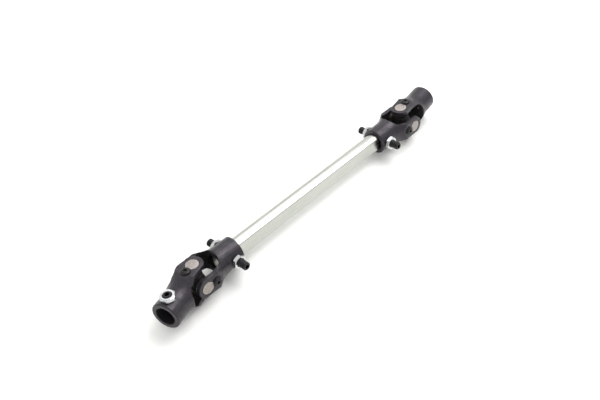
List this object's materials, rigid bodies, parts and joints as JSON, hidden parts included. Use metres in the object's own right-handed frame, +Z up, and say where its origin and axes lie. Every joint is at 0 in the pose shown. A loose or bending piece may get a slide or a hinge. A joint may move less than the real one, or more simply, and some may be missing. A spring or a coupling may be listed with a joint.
{
  "type": "double universal joint shaft",
  "caption": "Steering-type shaft: a zinc-plated double-D bar with a black needle-bearing universal joint at each end, hubs held by set screws with jam nuts.",
  "frame": {"origin": "centre of the bounding box, on the surface that the shaft lies on", "axes": "+X along the bar from the input joint to the output joint, +Z up, +Y to the rear. The assembly lies leaning 8.7 degrees about X on the lock screws and ear edges of the outer yokes' lower ears."},
  "size_m": [0.397, 0.054, 0.042],
  "materials": {
    "black_oxide_steel": "satin black oxide over forged and turned steel",
    "zinc_plated_steel": "bright zinc plate, faint drawing lines",
    "zinc_plated_nut": "bright zinc plate",
    "ground_bearing_steel": "ground, fine grit, matt",
    "black_screw_steel": "black oxide, threaded",
    "bearing_needle_steel": "polished",
    "seal_rubber": "matt black nitrile"
  },
  "bodies": {
    "shaft": {"centre_bar": "zinc_plated_steel", "input_inner_yoke": "black_oxide_steel", "input_front_bearing_cup": "ground_bearing_steel", "input_front_needle_bearing": "bearing_needle_steel", "input_front_seal": "seal_rubber", "input_front_lock_screw": "black_screw_steel", "input_front_set_screw": "black_screw_steel", "input_front_jam_nut": "zinc_plated_nut", "input_rear_bearing_cup": "ground_bearing_steel", "input_rear_needle_bearing": "bearing_needle_steel", "input_rear_seal": "seal_rubber", "input_rear_lock_screw": "black_screw_steel", "input_rear_set_screw": "black_screw_steel", "input_rear_jam_nut": "zinc_plated_nut", "output_inner_yoke": "black_oxide_steel", "output_front_bearing_cup": "ground_bearing_steel", "output_front_needle_bearing": "bearing_needle_steel", "output_front_seal": "seal_rubber", "output_front_lock_screw": "black_screw_steel", "output_front_set_screw": "black_screw_steel", "output_front_jam_nut": "zinc_plated_nut", "output_rear_bearing_cup": "ground_bearing_steel", "output_rear_needle_bearing": "bearing_needle_steel", "output_rear_seal": "seal_rubber", "output_rear_lock_screw": "black_screw_steel", "output_rear_set_screw": "black_screw_steel", "output_rear_jam_nut": "zinc_plated_nut"},
    "input_cross_body": {"input_cross": "black_oxide_steel"},
    "input_outer": {"input_outer_yoke": "black_oxide_steel", "input_upper_bearing_cup": "ground_bearing_steel", "input_upper_needle_bearing": "bearing_needle_steel", "input_upper_seal": "seal_rubber", "input_upper_lock_screw": "black_screw_steel", "input_lower_bearing_cup": "ground_bearing_steel", "input_lower_needle_bearing": "bearing_needle_steel", "input_lower_seal": "seal_rubber", "input_lower_lock_screw": "black_screw_steel", "input_upper_set_screw": "black_screw_steel", "input_upper_jam_nut": "zinc_plated_nut"},
    "output_cross_body": {"output_cross": "black_oxide_steel"},
    "output_outer": {"output_outer_yoke": "black_oxide_steel", "output_upper_bearing_cup": "ground_bearing_steel", "output_upper_needle_bearing": "bearing_needle_steel", "output_upper_seal": "seal_rubber", "output_upper_lock_screw": "black_screw_steel", "output_lower_bearing_cup": "ground_bearing_steel", "output_lower_needle_bearing": "bearing_needle_steel", "output_lower_seal": "seal_rubber", "output_lower_lock_screw": "black_screw_steel", "output_lower_set_screw": "black_screw_steel", "output_lower_jam_nut": "zinc_plated_nut"}
  },
  "joints": [
    {"name": "input_pitch", "type": "hinge", "parent": "shaft", "child": "input_cross_body", "pos_m": [-0.14886, 0.00031, 0.01972], "axis": [0.0002, 0.9885, -0.1513], "range_deg": [-32.2, 27.8]},
    {"name": "input_yaw", "type": "hinge", "parent": "input_cross_body", "child": "input_outer", "pos_m": [-0.14886, 0.00031, 0.01972], "axis": [0.0372, 0.1511, 0.9878], "range_deg": [-48, 12]},
    {"name": "output_pitch", "type": "hinge", "parent": "shaft", "child": "output_cross_body", "pos_m": [0.14914, 0.00031, 0.02008], "axis": [0.0002, 0.9885, -0.1513], "range_deg": [-26.3, 33.7]},
    {"name": "output_yaw", "type": "hinge", "parent": "output_cross_body", "child": "output_outer", "pos_m": [0.14914, 0.00031, 0.02008], "axis": [-0.0657, 0.1509, 0.9864], "range_deg": [-37.5, 22.5]}
  ]
}
